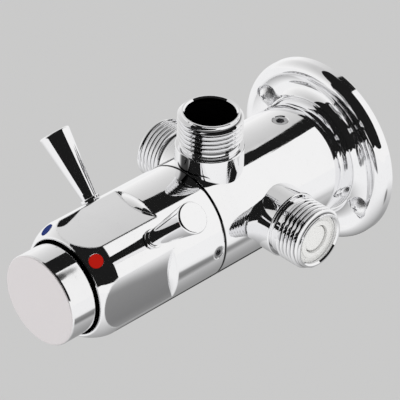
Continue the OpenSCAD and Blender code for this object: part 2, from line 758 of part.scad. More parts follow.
module check_poppet() {
    head_front = check_front - check_ring_t - free_gap;
    turned() union() {
        bar_profile(check_nose_d / 2, head_front - over, check_front - 0.6, 0, 0.4);
        bar_profile(poppet_head_r, head_front - poppet_head_t, head_front, 0, 0.3);
        ring_profile(0, poppet_stem_r, stub_shoulder + over, head_front);
    }
}

module check_seal() seal_ring(stub_bore_r - seal_r - run_fit / 2, check_seal_u);

module check_spring() {
    foot = stub_shoulder + check_floor_t + set_fit;
    head = check_front - check_ring_t - free_gap - poppet_head_t - 2 * set_fit;
    translate([0, 0, foot])
        spring(check_spring_r, check_spring_wire, head - foot, check_spring_turns + 2);
}

// Puts a check valve's piece in the right stub (0) or the left one (180)
module in_inlet(side) on_wall() pointing_out(inlet_z, side) children();

module check_valve_housing_right() color([0.93, 0.93, 0.92]) in_inlet(0) check_housing();
module check_valve_seal_right() color([0.12, 0.12, 0.12]) in_inlet(0) check_seal();
module check_valve_poppet_right() color([0.95, 0.95, 0.94]) in_inlet(0) check_poppet();
module check_valve_spring_right() color([0.70, 0.71, 0.72]) in_inlet(0) check_spring();
module check_valve_housing_left() color([0.93, 0.93, 0.92]) in_inlet(180) check_housing();
module check_valve_seal_left() color([0.12, 0.12, 0.12]) in_inlet(180) check_seal();
module check_valve_poppet_left() color([0.95, 0.95, 0.94]) in_inlet(180) check_poppet();
module check_valve_spring_left() color([0.70, 0.71, 0.72]) in_inlet(180) check_spring();

valve_body();
wall_flange();
wall_rosette();
wall_screws();
body_grub_screw();
retaining_nut();
control_sleeve();
lever_left();
lever_right();
red_dot();
blue_dot();
sleeve_grub_screw();
mixing_spool();
spool_seals();
timer_barrel();
barrel_cap();
spindle_seal();
timing_needle();
push_button();
spindle();
timer_piston();
piston_cup_seal();
return_spring();
valve_disc();
disc_washer();
disc_nut();
check_valve_housing_right();
check_valve_seal_right();
check_valve_poppet_right();
check_valve_spring_right();
check_valve_housing_left();
check_valve_seal_left();
check_valve_poppet_left();
check_valve_spring_left();
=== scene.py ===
import json
import math

import bpy
from mathutils import Matrix, Vector


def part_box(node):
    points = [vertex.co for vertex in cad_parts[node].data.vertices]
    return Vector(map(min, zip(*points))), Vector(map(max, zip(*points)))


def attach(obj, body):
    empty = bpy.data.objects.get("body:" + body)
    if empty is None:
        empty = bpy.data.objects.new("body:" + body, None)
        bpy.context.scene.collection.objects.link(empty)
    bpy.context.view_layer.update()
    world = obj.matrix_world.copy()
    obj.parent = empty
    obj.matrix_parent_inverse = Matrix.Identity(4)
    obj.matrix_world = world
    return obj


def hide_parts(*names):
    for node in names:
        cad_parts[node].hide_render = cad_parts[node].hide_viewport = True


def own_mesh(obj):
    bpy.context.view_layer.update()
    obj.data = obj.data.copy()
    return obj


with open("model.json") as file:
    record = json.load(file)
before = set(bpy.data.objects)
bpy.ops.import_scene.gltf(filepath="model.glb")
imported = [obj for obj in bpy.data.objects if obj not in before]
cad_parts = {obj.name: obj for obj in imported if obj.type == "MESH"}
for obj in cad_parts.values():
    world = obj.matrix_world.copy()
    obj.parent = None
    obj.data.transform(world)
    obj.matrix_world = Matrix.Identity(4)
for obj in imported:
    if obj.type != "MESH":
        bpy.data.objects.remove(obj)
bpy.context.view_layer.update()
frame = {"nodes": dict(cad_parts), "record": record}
scene = bpy.context.scene

MM = 0.001

# The part's own sizes, in millimetres and degrees. A station is a distance in front of the wall,
# and a reach or a radius is a distance from the axis that it belongs to.

# The body, its stubs and its grub screw's hole
BODY_R = 19.5
BODY_BACK = 11.3
BODY_FRONT = 64.3
CORE_R = 13.6
CORE_FLOOR = 31.5
SOCKET_R = 15.43
SOCKET_FLOOR = 27.5
NUT_R = 16.4
NUT_FLOOR = 60.7
OUTLET_Y = 53.2
OUTLET_REACH = 37.2
INLET_Y = 39.7
INLET_REACH = 36.6
COLLAR_R = 11.0
STUB_BORE = 8.2
STUB_SHOULDER = 18.0
PORT_R = 4.5
GRUB_Y = 21.0
GRUB_HOLE_R = 2.53
GRUB_MOUTH_R = 2.95

# The pipe thread. Its foot is where the ridge starts, a little inside the stub's core.
THREAD_CREST = 10.4775
THREAD_DEPTH = 1.162
THREAD_ROOT = THREAD_CREST - THREAD_DEPTH
THREAD_FOOT = THREAD_ROOT - 0.12
THREAD_PITCH = 1.814
THREAD_TURNS = 6
THREAD_RELIEF = 1.2

# The control sleeve with its holes, flats and marks
SLEEVE_BACK = 64.6
SLEEVE_LEDGE = 77.6
SLEEVE_FRONT = 115.0
SLEEVE_NECK_R = 13.53
SLEEVE_BORE_R = 15.9
SLEEVE_HOLE_R = 2.03
SLEEVE_GRUB_Y = 67.5
NOSE_START = 108.4
NOSE_CENTRE = (6.425, 106.592)
NOSE_R = 13.2
NOSE_FROM = 7.87
NOSE_TO = 39.57
FLAT_X = 17.1
FLATS_BACK = 87.2
CUTTER_R = 3.2
CUTTER_LEAD = 1.3
DOT_Y = 112.3
DOT_REACH = 18.327
DOT_TILT = 25.62
DOT_ANGLES = (52.5, 127.5)
DOT_POCKET_R = 2.23

# The levers, the button and the springs
LEVER_Y = 91.2
LEVER_ROOT = 16.3
LEVER_LEN = 24.2
LEVER_STEM_R = 2.0
LEVERS = (("lever_left", 135), ("lever_right", 45))
BUTTON_FRONT = 125.5
SPRING_BACK = 76.3
SPRING_LENGTH = 19.2

# The wall flange, the rosette and their screws
SPIGOT_R = 15.4
SPIGOT_END = 27.1
SPIGOT_BORE_R = 12.4
SPIGOT_FLOOR = 4.1
SPIGOT_GROOVE = (18.45, 23.55)
HUB_R = 19.8
HUB_FOOT = 6.4
PLATE_R = 28.2
PLATE_FRONT = 2.6
ROSETTE_HOLE_R = 19.85
ROSETTE_POCKET_R = 28.75
ROSETTE_R = 31.4
DISH_R = 4.6
RIM_R = 3.2
SCREW_RING = 24.3
SCREW_ANGLES = (-28, 152)
SCREW_SEAT = 4.1
SCREW_HOLE_R = 2.06
SCREW_HEAD_HOLE_R = 3.8


# Modelling by hand: selecting, turning a profile, winding, cutting and joining


def only(*objects):
    """Deselects everything and selects these objects, the first one active."""
    if bpy.context.object and bpy.context.object.mode != "OBJECT":
        bpy.ops.object.mode_set(mode="OBJECT")
    bpy.ops.object.select_all(action="DESELECT")
    for o in objects:
        o.select_set(True)
    bpy.context.view_layer.objects.active = objects[0]


def begin(add, name, **settings):
    """Adds a primitive with nothing else selected, and names it and its mesh."""
    bpy.ops.object.select_all(action="DESELECT")
    add(**settings)
    o = bpy.context.object
    o.name = name
    o.data.name = name
    return o


def place(o):
    """Puts the object's place, turn and size into its mesh."""
    only(o)
    bpy.ops.object.transform_apply(location=True, rotation=True, scale=True)


def tidy_normals(o, merge=1e-7):
    """Closes the seam of a turned shape and points its faces outwards."""
    only(o)
    bpy.ops.object.mode_set(mode="EDIT")
    bpy.ops.mesh.select_all(action="SELECT")
    bpy.ops.mesh.remove_doubles(threshold=merge)
    bpy.ops.mesh.normals_make_consistent(inside=False)
    bpy.ops.object.mode_set(mode="OBJECT")


def turn_profile(name, points, steps=192):
    """A solid of revolution about Z. points are (radius, height) in mm, along the profile."""
    o = begin(bpy.ops.mesh.primitive_plane_add, name, size=MM, location=(0, 0, 0))
    bpy.ops.object.mode_set(mode="EDIT")
    bpy.ops.mesh.select_all(action="SELECT")
    bpy.ops.mesh.merge(type="CENTER")
    r, z = points[0]
    bpy.ops.transform.translate(value=(r * MM, 0, z * MM))
    for (r0, z0), (r1, z1) in zip(points, points[1:]):
        bpy.ops.mesh.extrude_vertices_move(
            TRANSFORM_OT_translate={"value": ((r1 - r0) * MM, 0, (z1 - z0) * MM)}
        )
    bpy.ops.mesh.select_all(action="SELECT")
    bpy.ops.mesh.spin(steps=steps, angle=2 * math.pi, center=(0, 0, 0), axis=(0, 0, 1))
    bpy.ops.object.mode_set(mode="OBJECT")
    tidy_normals(o)
    return o


def arc(centre, radius, start, end, steps):
    """Points of an arc in a profile, from one angle to another in degrees."""
    out = []
    for i in range(steps + 1):
        a = math.radians(start + (end - start) * i / steps)
        out.append((centre[0] + radius * math.cos(a), centre[1] + radius * math.sin(a)))
    return out


def rod(radius, low, high):
    """The profile of a plain round rod."""
    return [(0, low), (radius, low), (radius, high), (0, high)]


def around(angle, reach=1, station=0):
    """A place at an angle about the body's axis, counted from the right upwards."""
    a = math.radians(angle)
    return (reach * math.cos(a), -station, reach * math.sin(a))


def stand(o, where, towards):
    """Turns an object drawn along Z to point towards a direction, at a place in mm."""
    turn = Vector((0, 0, 1)).rotation_difference(Vector(towards))
    o.matrix_world = Matrix.Translation(Vector(where) * MM) @ turn.to_matrix().to_4x4()
    place(o)
    return o


def stand_on_wall(o):
    """Turns an object drawn along Z to stand out from the wall."""
    return stand(o, (0, 0, 0), (0, -1, 0))


def clamp(value):
    """Keeps a value between 0 and 1."""
    return max(0.0, min(1.0, value))


def outline(name, points, height):
    """A closed outline beside the Z axis, to be wound. points are (radius, height) in mm."""
    o = begin(
        bpy.ops.mesh.primitive_circle_add, name, vertices=len(points), radius=MM, fill_type="NOTHING"
    )
    for v, (r, z) in zip(o.data.vertices, points):
        v.co = (r * MM, 0, (height + z) * MM)
    return o


def wind(o, pitch, turns, steps):
    """Winds an outline about Z. pitch is in mm, and steps are in each turn."""
    step = o.modifiers.new("wind", "SCREW")
    step.axis = "Z"
    step.angle = 2 * math.pi
    step.screw_offset = pitch * MM
    step.iterations = turns
    step.steps = step.render_steps = steps
    step.use_merge_vertices = False
    only(o)
    bpy.ops.object.modifier_apply(modifier=step.name)


def close_ends(o):
    """Fills the open ends of a wound shape and points its faces outwards."""
    only(o)
    bpy.ops.object.mode_set(mode="EDIT")
    bpy.ops.mesh.select_mode(type="EDGE")
    bpy.ops.mesh.select_all(action="DESELECT")
    bpy.ops.mesh.select_non_manifold(
        extend=False,
        use_wire=False,
        use_multi_face=False,
        use_non_contiguous=False,
        use_verts=False,
    )
    bpy.ops.mesh.edge_face_add()
    bpy.ops.mesh.select_mode(type="VERT")
    bpy.ops.object.mode_set(mode="OBJECT")
    tidy_normals(o, 1e-8)


def cut_or_join(o, other, operation):
    """A boolean step with another object, which is used up."""
    step = o.modifiers.new(operation.lower(), "BOOLEAN")
    step.operation = operation
    step.object = other
    step.solver = "EXACT"
    only(o)
    bpy.ops.object.modifier_apply(modifier=step.name)
    bpy.data.objects.remove(other)
    return o


def bore(o, profile, where, towards, steps=64):
    """Cuts a turned shape out of an object."""
    cutter = turn_profile("bore", profile, steps)
    cut_or_join(o, stand(cutter, where, towards), "DIFFERENCE")


def smooth(o, angle):
    """Shades round surfaces smooth and keeps edges sharper than the angle.

    Large faces count for more, so a small rounding doesn't bend the light on the wall beside it.
    """
    only(o)
    bpy.ops.object.shade_smooth_by_angle(angle=math.radians(angle))
    step = o.modifiers.new("weighted", "WEIGHTED_NORMAL")
    step.mode = "FACE_AREA"
    step.weight = 50
    step.keep_sharp = True
    bpy.ops.object.modifier_apply(modifier=step.name)


def piece(o, body, slot, *nodes):
    """Makes a finished object ride on a body and stand for nodes, which are hidden. The slot is not
    used.
    """
    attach(o, body)
    if nodes:
        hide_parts(*nodes)


# Small steps in a node tree


def math_node(tree, kind, a, b=None, clamped=False):
    """One step of arithmetic on numbers or outputs."""
    n = tree.nodes.new("ShaderNodeMath")
    n.operation = kind
    n.use_clamp = clamped
    for i, v in enumerate((a, b)):
        if isinstance(v, (int, float)):
            n.inputs[i].default_value = v
        elif v is not None:
            tree.links.new(v, n.inputs[i])
    return n.outputs[0]


def squares(tree, a, b):
    """The sum of two squares."""
    a_squared = math_node(tree, "MULTIPLY", a, a)
    return math_node(tree, "ADD", a_squared, math_node(tree, "MULTIPLY", b, b))


def coordinates(tree, vector):
    """The x, y and z of a vector."""
    n = tree.nodes.new("ShaderNodeSeparateXYZ")
    tree.links.new(vector, n.inputs[0])
    return n.outputs


def ramp(tree, value, low, high, start, end, kind="LINEAR"):
    """Goes from start to end as the value goes from low to high."""
    n = tree.nodes.new("ShaderNodeMapRange")
    n.interpolation_type = kind
    for label, v in (("From Min", low), ("From Max", high), ("To Min", start), ("To Max", end)):
        n.inputs[label].default_value = v
    tree.links.new(value, n.inputs["Value"])
    return n.outputs[0]


def mix(tree, kind, mask, a, b):
    """Goes from a to b as the mask goes from 0 to 1. Each is a colour or an output."""
    n = tree.nodes.new("ShaderNodeMix")
    n.data_type = kind
    tree.links.new(mask, n.inputs["Factor"])
    for label, v in (("A", a), ("B", b)):
        if isinstance(v, tuple):
            n.inputs[label].default_value = (*v, 1)
        else:
            tree.links.new(v, n.inputs[label])
    return n.outputs["Result"]


def noise(tree, where, scale, detail, roughness=0.5):
    """Cloudy noise. scale is a number or an output."""
    n = tree.nodes.new("ShaderNodeTexNoise")
    tree.links.new(where, n.inputs["Vector"])
    if isinstance(scale, float):
        n.inputs["Scale"].default_value = scale
    else:
        tree.links.new(scale, n.inputs["Scale"])
    n.inputs["Detail"].default_value = detail
    n.inputs["Roughness"].default_value = roughness
    return n.outputs["Fac"]


def bumped(tree, height, distance, strength=1.0):
    """A Bump node over a height. distance is in metres, and strength is a number or an output."""
    n = tree.nodes.new("ShaderNodeBump")
    n.inputs["Distance"].default_value = distance
    if isinstance(strength, float):
        n.inputs["Strength"].default_value = strength
    else:
        tree.links.new(strength, n.inputs["Strength"])
    tree.links.new(height, n.inputs["Height"])
    return n


# Node groups that several finishes share


def new_group(name, inputs, outputs):
    """A shader group with named sockets, and its input and output nodes."""
    g = bpy.data.node_groups.new(name, "ShaderNodeTree")
    g.interface.new_socket(name="Place", in_out="INPUT", socket_type="NodeSocketVector")
    for label, value in inputs:
        s = g.interface.new_socket(name=label, in_out="INPUT", socket_type="NodeSocketFloat")
        s.default_value = value
    for kind, label in outputs:
        g.interface.new_socket(name=label, in_out="OUTPUT", socket_type=kind)
    return g, g.nodes.new("NodeGroupInput"), g.nodes.new("NodeGroupOutput")


def make_handling_marks():
    """Faint smears and dry water specks, as one mask from clean (0) to marked (1)."""
    g, given, out = new_group("handling_marks", [("Amount", 0.5)], [("NodeSocketFloat", "Mask")])
    smear = noise(g, given.outputs["Place"], 95.0, 4.0, 0.6)
    speck = noise(g, given.outputs["Place"], 900.0, 1.0, 0.4)
    wide = math_node(g, "MULTIPLY", math_node(g, "SUBTRACT", smear, 0.5), 3.0, True)
    fine = math_node(g, "MULTIPLY", math_node(g, "SUBTRACT", speck, 0.64), 8.0, True)
    both = math_node(g, "ADD", wide, math_node(g, "MULTIPLY", fine, 0.5), True)
    g.links.new(math_node(g, "MULTIPLY", both, given.outputs["Amount"]), out.inputs["Mask"])
    return g


def make_polish_ripple():
    """The slight unevenness that buffing leaves under a plated surface, as a normal."""
    g, given, out = new_group("polish_ripple", [("Strength", 0.1)], [("NodeSocketVector", "Normal")])
    wave = noise(g, given.outputs["Place"], 130.0, 1.0, 0.3)
    bump = bumped(g, wave, 0.0004, given.outputs["Strength"])
    g.links.new(bump.outputs["Normal"], out.inputs["Normal"])
    return g


def make_turning_lines():
    """Fine rings that a lathe tool leaves, about the body's axis, as a height."""
    g, given, out = new_group(
        "turning_lines", [("Rings per metre", 3000.0)], [("NodeSocketFloat", "Height")]
    )
    x, y, z = coordinates(g, given.outputs["Place"])
    reach = math_node(g, "ADD", math_node(g, "SQRT", squares(g, x, z)), y)
    turns = math_node(g, "MULTIPLY", reach, given.outputs["Rings per metre"])
    wave = math_node(g, "SINE", math_node(g, "MULTIPLY", turns, 2 * math.pi))
    g.links.new(wave, out.inputs["Height"])
    return g


def make_soft_grain():
    """A fine even grain, as moulded plastic, rubber and blasted metal have it, as a normal."""
    g, given, out = new_group(
        "soft_grain",
        [("Size", 4000.0), ("Strength", 0.1)],
        [("NodeSocketVector", "Normal"), ("NodeSocketFloat", "Mask")],
    )
    grain = noise(g, given.outputs["Place"], given.outputs["Size"], 3.0)
    bump = bumped(g, grain, 0.00005, given.outputs["Strength"])
    g.links.new(bump.outputs["Normal"], out.inputs["Normal"])
    g.links.new(grain, out.inputs["Mask"])
    return g


def make_crevice_shade():
    """Painted shade: the seam of body and sleeve, and the grooves of the three threads, drawn dark.
    """
    g, given, out = new_group("painted_crevice_shade", [], [("NodeSocketFloat", "Unshaded")])
    x, y, z = coordinates(g, given.outputs["Place"])

    def off_axis(across, station):
        """Distance from a stub's axis."""
        return math_node(g, "SQRT", squares(g, across, math_node(g, "ADD", y, station * MM)))

    seam_middle = (BODY_FRONT + SLEEVE_BACK) / 2
    from_seam = math_node(g, "ABSOLUTE", math_node(g, "ADD", y, seam_middle * MM))
    seam = ramp(g, from_seam, 0.30 * MM, 0.60 * MM, 0.04, 1.0, "SMOOTHSTEP")
    nearest = math_node(g, "MINIMUM", off_axis(x, OUTLET_Y), off_axis(z, INLET_Y))
    lit_from = THREAD_ROOT + 0.62
    groove = ramp(g, nearest, THREAD_ROOT * MM, lit_from * MM, 0.16, 1.0, "SMOOTHSTEP")
    # only between the first ridge and the last, and not in the bores
    far_out = math_node(g, "MAXIMUM", math_node(g, "ABSOLUTE", x), z)
    first_ridge = OUTLET_REACH - THREAD_TURNS * THREAD_PITCH + 0.3
    begun = math_node(g, "GREATER_THAN", far_out, first_ridge * MM)
    ended = math_node(g, "LESS_THAN", far_out, (INLET_REACH - 0.6) * MM)
    outside = math_node(g, "GREATER_THAN", nearest, (STUB_BORE + 0.6) * MM)
    here = math_node(g, "MULTIPLY", math_node(g, "MULTIPLY", begun, ended), outside)
    groove_shade = math_node(g, "MULTIPLY", math_node(g, "SUBTRACT", 1.0, groove), here)
    # the painted shade's mask: 1 where nothing is shaded, near 0 in the seam and the grooves
    clean = math_node(g, "MULTIPLY", seam, math_node(g, "SUBTRACT", 1.0, groove_shade))
    g.links.new(clean, out.inputs["Unshaded"])
    return g


HANDLING = make_handling_marks()
RIPPLE = make_polish_ripple()
TURNING = make_turning_lines()
GRAIN = make_soft_grain()
CREVICE_SHADE = make_crevice_shade()


# Finishes

# Of polished plating: its colour and roughness where clean, and where marked
CLEAN_PLATE = (0.90, 0.90, 0.91)
MARKED_PLATE = (0.85, 0.85, 0.86)
PLATE_ROUGHNESS = (0.03, 0.09)
# Painted shade: the nearly black colour drawn into the seam and the thread grooves
CREVICE_SHADE_COLOUR = (0.012, 0.012, 0.012)
# The buffed flats are crowned: their height falls with the square of the distance from their
# middle line, by this many metres for a square metre
SLEEVE_CROWN = 3.4


class Finish:
    """A material with a Principled shader, built step by step."""

    def __init__(self, name, label, value):
        self.material = bpy.data.materials.new(name)
        self.material.use_nodes = True
        self.tree = self.material.node_tree
        self.shader = self.tree.nodes["Principled BSDF"]
        self.shader.inputs[label].default_value = value
        self.place = self.tree.nodes.new("ShaderNodeTexCoord").outputs["Object"]

    def add_group(self, group, **values):
        """A shared effect on this material, with its own values."""
        n = self.tree.nodes.new("ShaderNodeGroup")
        n.node_tree = group
        for label, value in values.items():
            n.inputs[label].default_value = value
        self.tree.links.new(self.place, n.inputs["Place"])
        return n

    def marks(self, amount):
        """Where smears and water specks lie."""
        return self.add_group(HANDLING, Amount=amount).outputs["Mask"]

    def ripple(self):
        """The normal of a buffed surface."""
        return self.add_group(RIPPLE, Strength=0.03).outputs["Normal"]

    def between(self, mask, low, high):
        """A number that goes from low to high as the mask goes from 0 to 1."""
        return ramp(self.tree, mask, 0.0, 1.0, low, high)

    def blend_colours(self, mask, low, high):
        """A colour that goes from low to high as the mask goes from 0 to 1."""
        return mix(self.tree, "RGBA", mask, low, high)

    def paint_crevice_shade(self, colour):
        """The colour, with painted shade nearly black in the seam and in the thread grooves."""
        clean = self.add_group(CREVICE_SHADE).outputs["Unshaded"]
        return self.blend_colours(clean, CREVICE_SHADE_COLOUR, colour)

    def link(self, output, label):
        self.tree.links.new(output, self.shader.inputs[label])


def plated_finish():
    """Polished chromium plating with faint smears."""
    f = Finish("body_plating", "Metallic", 1.0)
    marks = f.marks(0.6)
    plate = f.blend_colours(marks, CLEAN_PLATE, tuple(c * 0.95 for c in CLEAN_PLATE))
    f.link(f.paint_crevice_shade(plate), "Base Color")
    f.link(f.between(marks, *PLATE_ROUGHNESS), "Roughness")
    f.link(f.ripple(), "Normal")
    return f.material


def casting_finish():
    """Plating like the rest outside, and the unplated bore of the outlet, with painted shade that
    makes it nearly black.
    """
    f = Finish("casting_plating", "Metallic", 1.0)
    t = f.tree
    x, y, z = coordinates(t, f.place)
    off_axis = math_node(t, "SQRT", squares(t, math_node(t, "ADD", y, OUTLET_Y * MM), x))
    near = math_node(t, "LESS_THAN", off_axis, (STUB_BORE + 0.2) * MM)
    deep = math_node(t, "GREATER_THAN", z, (CORE_R - 6) * MM)
    inside = math_node(t, "LESS_THAN", z, (OUTLET_REACH - 1.6) * MM)
    unplated_shaded_bore = math_node(t, "MULTIPLY", near, math_node(t, "MULTIPLY", deep, inside))
    marks = f.marks(0.6)
    plate = f.blend_colours(marks, CLEAN_PLATE, MARKED_PLATE)
    # the unplated bore, with painted shade that makes it nearly black
    unplated_shaded_colour = f.blend_colours(marks, (0.035, 0.034, 0.032), (0.06, 0.055, 0.05))
    f.link(f.paint_crevice_shade(f.blend_colours(unplated_shaded_bore, plate, unplated_shaded_colour)), "Base Color")
    plate_rough = f.between(marks, *PLATE_ROUGHNESS)
    f.link(mix(t, "FLOAT", unplated_shaded_bore, plate_rough, f.between(marks, 0.30, 0.45)), "Roughness")
    f.link(f.ripple(), "Normal")
    return f.material


def sleeve_finish():
    """Plating over flats that the buffing wheel has left very slightly crowned."""
    f = Finish("sleeve_plating", "Metallic", 1.0)
    t = f.tree
    marks = f.marks(0.6)
    plate = f.blend_colours(marks, CLEAN_PLATE, MARKED_PLATE)
    f.link(f.paint_crevice_shade(plate), "Base Color")
    f.link(f.between(marks, *PLATE_ROUGHNESS), "Roughness")
    x, _, z = coordinates(t, f.place)
    # a point is on a flat where the larger of its two offsets from the axis is the flat's own
    wide = math_node(t, "MAXIMUM", math_node(t, "ABSOLUTE", x), math_node(t, "ABSOLUTE", z))
    off_flat = math_node(t, "ABSOLUTE", math_node(t, "SUBTRACT", wide, FLAT_X * MM))
    on_flat = math_node(t, "LESS_THAN", off_flat, 0.01 * MM)
    fall = math_node(t, "SUBTRACT", (BODY_R * MM) ** 2, squares(t, x, z))
    height = math_node(t, "MULTIPLY", fall, SLEEVE_CROWN)
    crown = bumped(t, math_node(t, "MULTIPLY", height, on_flat), 1.0)
    # the flats' edges are broken by the buffing
    edge = t.nodes.new("ShaderNodeBevel")
    edge.samples = 8
    edge.inputs["Radius"].default_value = 0.7 * MM
    t.links.new(f.ripple(), edge.inputs["Normal"])
    t.links.new(edge.outputs["Normal"], crown.inputs["Normal"])
    f.link(crown.outputs["Normal"], "Normal")
    return f.material


def button_finish():
    """A blasted satin face, with plating like the rest on the side and on the face's rim."""
    f = Finish("button_plating", "Metallic", 1.0)
    t = f.tree
    y = coordinates(t, f.place)["Y"]
    face = math_node(t, "LESS_THAN", y, -(BUTTON_FRONT - 0.25) * MM)
    grain = f.add_group(GRAIN, Size=5200.0, Strength=0.35)
    marks = f.marks(0.5)
    satin = f.blend_colours(grain.outputs["Mask"], (0.77, 0.735, 0.745), (0.83, 0.80, 0.805))
    plate = f.blend_colours(marks, (0.88, 0.88, 0.89), (0.83, 0.83, 0.84))
    f.link(f.blend_colours(face, plate, satin), "Base Color")
    plate_rough = f.between(marks, 0.035, 0.10)
    satin_rough = f.between(grain.outputs["Mask"], 0.46, 0.58)
    f.link(mix(t, "FLOAT", face, plate_rough, satin_rough), "Roughness")
    f.link(mix(t, "VECTOR", face, f.ripple(), grain.outputs["Normal"]), "Normal")
    return f.material


def turned_finish(name, marked, clean, marked_rough, clean_rough):
    """Bare metal with the rings of turning and a few handling marks."""
    f = Finish(name, "Metallic", 1.0)
    marks = f.marks(0.8)
    f.link(f.blend_colours(marks, clean, marked), "Base Color")
    f.link(f.between(marks, clean_rough, marked_rough), "Roughness")
    lines = f.add_group(TURNING).outputs["Height"]
    f.link(bumped(f.tree, lines, 0.00002, 0.15).outputs["Normal"], "Normal")
    return f.material


def moulded_finish(name, marked, clean, rough, grain_size, strength, shine=0.5):
    """Plastic, rubber or enamel with a fine grain and a slight change of tone."""
    f = Finish(name, "Specular IOR Level", shine)
    grain = f.add_group(GRAIN, Size=grain_size, Strength=strength)
    f.link(f.blend_colours(f.marks(0.7), clean, marked), "Base Color")
    f.link(f.between(grain.outputs["Mask"], rough - 0.05, rough + 0.07), "Roughness")
    f.link(grain.outputs["Normal"], "Normal")
    return f.material


FINISH = {
    "chrome": plated_finish(),
    "casting": casting_finish(),
    "sleeve": sleeve_finish(),
    "button_metal": button_finish(),
    "steel": turned_finish(
        "bright_steel", (0.66, 0.66, 0.67), (0.80, 0.80, 0.81), 0.30, 0.13
    ),
    "grub_steel": turned_finish(
        "dark_steel", (0.36, 0.36, 0.37), (0.52, 0.52, 0.53), 0.24, 0.12
    ),
    "screw_steel": turned_finish(
        "screw_steel", (0.88, 0.88, 0.89), (0.96, 0.96, 0.97), 0.5, 0.36
    ),
    "brass": turned_finish(
        "bare_brass", (0.58, 0.40, 0.16), (0.80, 0.60, 0.28), 0.38, 0.24
    ),
    "white_plastic": moulded_finish(
        "white_nylon", (0.76, 0.75, 0.74), (0.84, 0.84, 0.83), 0.34, 2600.0, 0.10
    ),
    "rubber": moulded_finish(
        "black_rubber", (0.020, 0.020, 0.021), (0.032, 0.032, 0.033), 0.62, 3400.0, 0.25
    ),
    "red": moulded_finish(
        "red_enamel", (0.38, 0.008, 0.005), (0.47, 0.011, 0.006), 0.5, 1800.0, 0.06, 0.02
    ),
    "blue": moulded_finish(
        "blue_enamel", (0.008, 0.026, 0.16), (0.012, 0.034, 0.20), 0.5, 1800.0, 0.06, 0.02
    ),
}


def paint(o, finish):
    """Gives an object one of the finishes, all over."""
    o.data.materials.clear()
    o.data.materials.append(FINISH[finish])


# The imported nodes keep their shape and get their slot's finish
slot_of = {s["node"]: s["material_slot"] for s in frame["record"]["subparts"]}
for node, o in frame["nodes"].items():
    paint(o, slot_of[node])


# The body, cast in one piece with its stubs

STUBS = (
    ("outlet", (0, -OUTLET_Y, 0), (0, 0, 1), OUTLET_REACH),
    ("inlet_right", (0, -INLET_Y, 0), (1, 0, 0), INLET_REACH),
    ("inlet_left", (0, -INLET_Y, 0), (-1, 0, 0), INLET_REACH),
)


def body_barrel():
    """The body's outside with its rounded ends, and its bores from the back and the front."""
    r = BODY_R
    profile = [(NUT_R, BODY_FRONT)]
    profile += arc((r - 0.4, BODY_FRONT - 0.4), 0.4, 90, 0, 6)
    profile += arc((r - 0.2, BODY_BACK + 0.2), 0.2, 0, -90, 6)
    profile += [(SOCKET_R, BODY_BACK), (SOCKET_R, SOCKET_FLOOR), (0, SOCKET_FLOOR)]
    profile += [(0, CORE_FLOOR), (CORE_R, CORE_FLOOR), (CORE_R, NUT_FLOOR)]
    profile += [(NUT_R, NUT_FLOOR), (NUT_R, BODY_FRONT)]
    return turn_profile("body_casting", profile, 256)


def stub(reach):
    """A stub from inside the body's wall to its end: collar, relief groove and thread core."""
    inner = CORE_R + 1.5
    start = reach - THREAD_TURNS * THREAD_PITCH
    collar = start - THREAD_RELIEF
    core = THREAD_ROOT + 0.02
    profile = [(0, inner), (COLLAR_R, inner), (COLLAR_R, collar - 0.45)]
    profile += arc((COLLAR_R - 0.45, collar - 0.45), 0.45, 0, 90, 6)[1:]
    profile += arc((core + 0.35, collar + 0.35), 0.35, 270, 180, 5)
    profile += [(core, reach - 0.15), (core - 0.15, reach), (0, reach)]
    return turn_profile("stub", profile)


def stub_bore(reach):
    """The profile bored out of a stub: passage, shoulder, wide bore and chamfered mouth."""
    lip = 0.5
    profile = [(0, CORE_R / 2), (PORT_R, CORE_R / 2), (PORT_R, STUB_SHOULDER)]
    profile += [(STUB_BORE, STUB_SHOULDER), (STUB_BORE, reach - lip)]
    profile += [(STUB_BORE + lip, reach), (STUB_BORE + lip + 1, reach + 1), (0, reach + 1)]
    return profile


def thread_coil(name, reach):
    """A true pipe thread: a V ridge that winds along the stub and fades out at both ends."""
    flank = THREAD_DEPTH * math.tan(math.radians(27.5))
    land = THREAD_PITCH / 2 - flank
    half = flank + land / 2
    edge = 0.10
    ridge = [
        (THREAD_FOOT, -half),
        (THREAD_ROOT, -half),
        (THREAD_CREST - edge, -land / 2 - edge * 0.52),
        (THREAD_CREST, -land / 2 + edge * 0.6),
        (THREAD_CREST, land / 2 - edge * 0.6),
        (THREAD_CREST - edge, land / 2 + edge * 0.52),
        (THREAD_ROOT, half),
        (THREAD_FOOT, half),
    ]
    low = reach - THREAD_TURNS * THREAD_PITCH + half
    coil = outline(name, ridge, low)
    wind(coil, THREAD_PITCH, THREAD_TURNS, 96)
    fade_thread(coil, low, reach - half, reach)
    close_ends(coil)
    return coil


def fade_thread(o, low, high, reach):
    """Sinks the ridge's ends into the core, keeps it on the stub and chamfers its first turn."""
    run_out = 0.30 * THREAD_PITCH
    wound = THREAD_TURNS * THREAD_PITCH
    for v in o.data.vertices:
        angle = math.atan2(v.co.y, v.co.x) % (2 * math.pi)
        r = math.hypot(v.co.x, v.co.y) / MM
        z = v.co.z / MM
        middle = low + THREAD_PITCH * round((z - low) / THREAD_PITCH - angle / (2 * math.pi))
        middle += THREAD_PITCH * angle / (2 * math.pi)
        keep = clamp(min(middle - low, low + wound - middle) / run_out)
        keep = keep * keep * (3 - 2 * keep)
        new_r = THREAD_FOOT + (r - THREAD_FOOT) * keep
        # drawn in along the axis, so that the last turn ends on the stub
        new_z = low + (z - low) * (high - low) / wound
        chamfer = THREAD_ROOT + 0.45 + 1.5 * (reach - new_z)
        new_r = min(new_r, chamfer)
        v.co = (new_r * MM * math.cos(angle), new_r * MM * math.sin(angle), new_z * MM)


